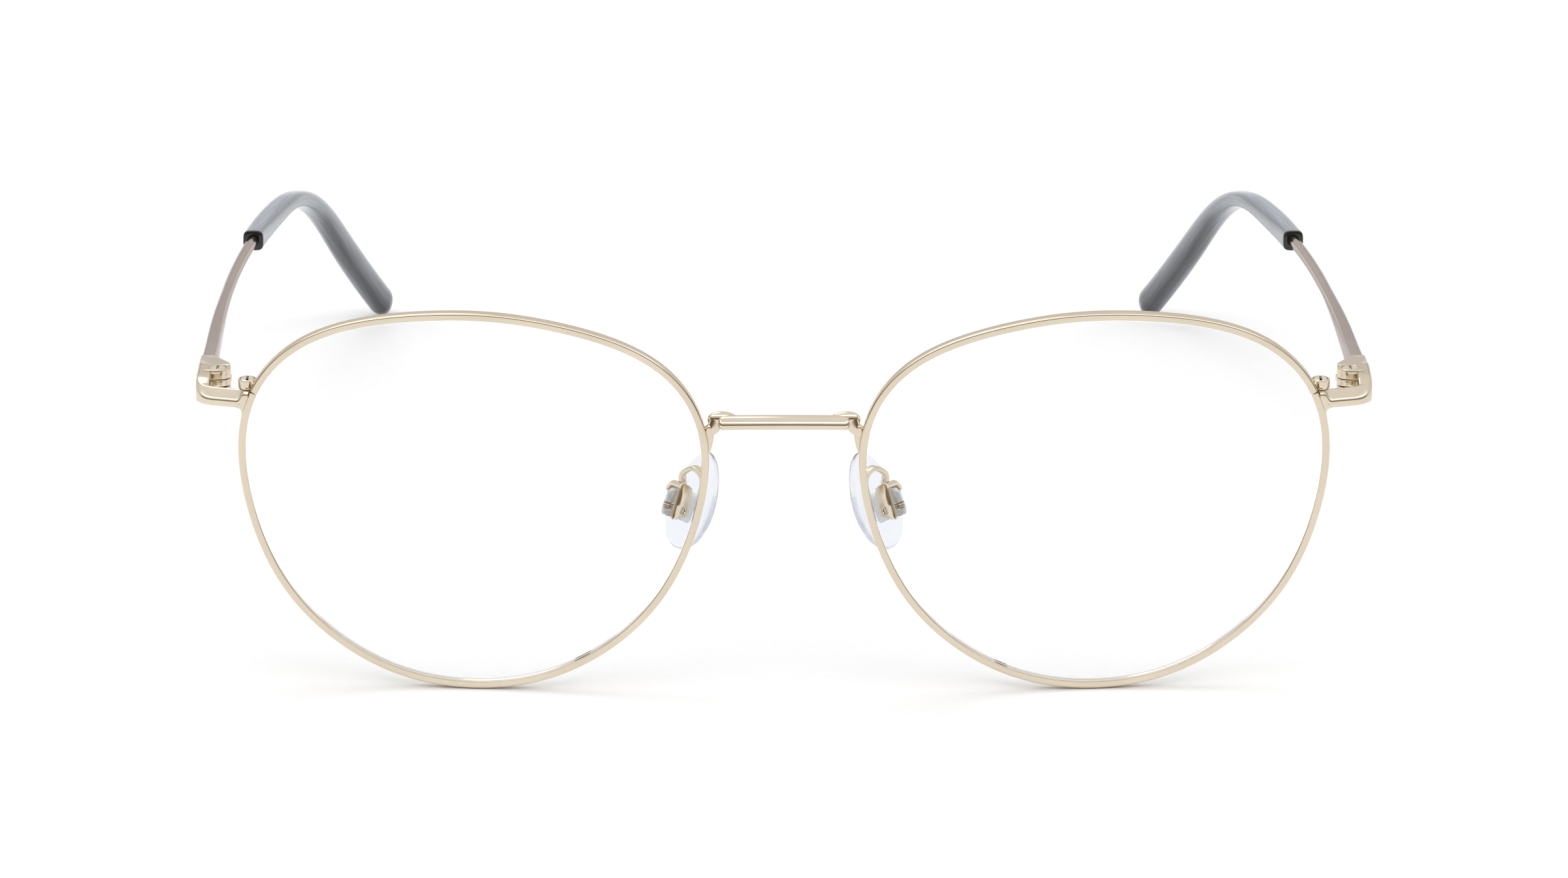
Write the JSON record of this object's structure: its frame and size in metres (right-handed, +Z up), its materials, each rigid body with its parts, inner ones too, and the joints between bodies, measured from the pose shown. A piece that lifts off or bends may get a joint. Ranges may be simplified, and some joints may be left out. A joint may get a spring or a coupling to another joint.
{
  "type": "eyeglasses",
  "caption": "Round metal eyeglasses with clear lenses, folding wire temples in translucent plastic tips and rocking nose pads.",
  "frame": {"origin": "on the table, in the middle of the footprint of the open spectacles", "axes": "+X to the wearer's left, +Y from the lenses back towards the tips, +Z up; the rims' lower edges and the tips stand on z = 0"},
  "size_m": [0.1292, 0.1432, 0.0432],
  "materials": {
    "gold_metal": "polished pale champagne gold",
    "screw_metal": "bright pale gold steel",
    "lens": "clear, polished, uncoated",
    "pad": "clear with a faint cool tint",
    "tip": "translucent smoke grey, glossy"
  },
  "bodies": {
    "front": {"bridge": "gold_metal", "rim_left": "gold_metal", "lens_left": "lens", "endpiece_left": "gold_metal", "closing_block_left": "gold_metal", "rim_screw_left": "screw_metal", "pad_arm_left": "gold_metal", "pad_box_left": "gold_metal", "pad_screw_left": "screw_metal", "hinge_screw_left": "screw_metal", "rim_right": "gold_metal", "lens_right": "lens", "endpiece_right": "gold_metal", "closing_block_right": "gold_metal", "rim_screw_right": "screw_metal", "pad_arm_right": "gold_metal", "pad_box_right": "gold_metal", "pad_screw_right": "screw_metal", "hinge_screw_right": "screw_metal"},
    "temple_left": {"hinge_temple_left": "gold_metal", "temple_left": "gold_metal", "temple_tip_left": "tip"},
    "nose_pad_left": {"nose_pad_left": "pad"},
    "temple_right": {"hinge_temple_right": "gold_metal", "temple_right": "gold_metal", "temple_tip_right": "tip"},
    "nose_pad_right": {"nose_pad_right": "pad"}
  },
  "joints": [
    {"name": "temple_left_fold", "type": "hinge", "parent": "front", "child": "temple_left", "pos_m": [0.06244, -0.05916, 0.0323], "axis": [0, 0.0785, 0.9969], "range_deg": [-2, 84]},
    {"name": "temple_right_fold", "type": "hinge", "parent": "front", "child": "temple_right", "pos_m": [-0.06226, -0.05916, 0.0323], "axis": [0, -0.0785, -0.9969], "range_deg": [0, 74]},
    {"name": "nose_pad_left_rock", "type": "hinge", "parent": "front", "child": "nose_pad_left", "pos_m": [0.01199, -0.06618, 0.01994], "axis": [0.6157, 0.788, 0], "range_deg": [-6, 6]},
    {"name": "nose_pad_right_rock", "type": "hinge", "parent": "front", "child": "nose_pad_right", "pos_m": [-0.0118, -0.06618, 0.01994], "axis": [-0.6157, 0.788, 0], "range_deg": [-6, 6]}
  ]
}
